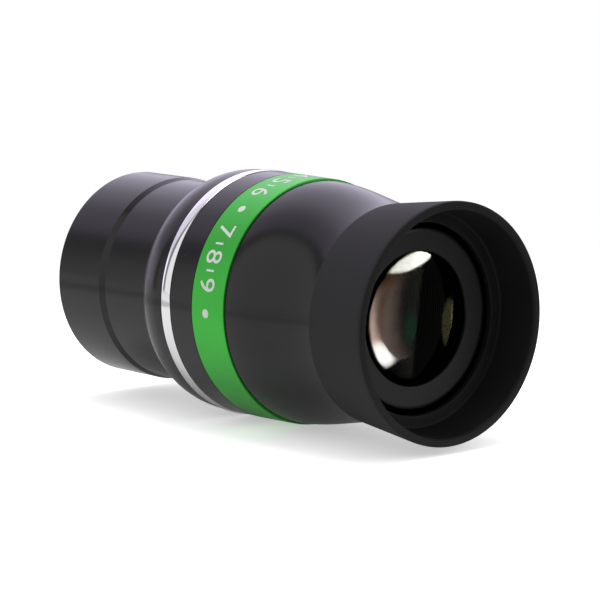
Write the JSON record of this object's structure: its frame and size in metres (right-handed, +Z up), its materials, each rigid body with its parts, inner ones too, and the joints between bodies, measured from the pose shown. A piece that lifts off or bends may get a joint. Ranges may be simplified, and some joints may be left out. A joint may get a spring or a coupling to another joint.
{
  "type": "telescope eyepiece",
  "caption": "Long eyepiece for a two inch telescope focuser: undercut barrel, rounded black body with a green band and a silver ring, coated eye lens and a fold-down rubber eyecup.",
  "frame": {"origin": "on the optical axis, halfway between the eyecup's lip and the barrel's end", "axes": "+X along the optical axis towards the eye, +Z up with the eyepiece lying on its side"},
  "size_m": [0.1164, 0.0598, 0.0598],
  "materials": {
    "eyecup_rubber": "matt soft rubber",
    "black_anodised": "glossy black anodised",
    "green_anodised": "satin green anodised",
    "polished_silver": "polished",
    "matt_black": "matt black",
    "crown_glass": "coated optical glass",
    "flint_glass": "coated optical glass"
  },
  "bodies": {
    "housing": {"eyecup_base": "eyecup_rubber", "upper_housing": "black_anodised", "green_band": "green_anodised", "middle_housing": "black_anodised", "silver_ring": "polished_silver", "lower_housing": "black_anodised", "eye_plate": "matt_black", "lens_cell": "matt_black", "eye_crown_lens": "crown_glass", "eye_flint_lens": "flint_glass", "long_spacer": "matt_black", "middle_lens": "crown_glass", "short_spacer": "matt_black", "inner_crown_lens": "crown_glass", "inner_flint_lens": "flint_glass", "cell_retainer": "matt_black", "field_stop": "matt_black", "barrel": "black_anodised", "barrel_lens_cell": "black_anodised", "barrel_crown_lens": "crown_glass", "barrel_flint_lens": "flint_glass", "barrel_lens_retainer": "matt_black"},
    "eyecup_lip": {"eyecup_skirt": "eyecup_rubber"}
  },
  "joints": [
    {"name": "eyecup_fold", "type": "slide", "parent": "housing", "child": "eyecup_lip", "axis": [-1, 0, 0], "range_m": [0, 0.021], "deforming": ["eyecup_skirt"]}
  ]
}
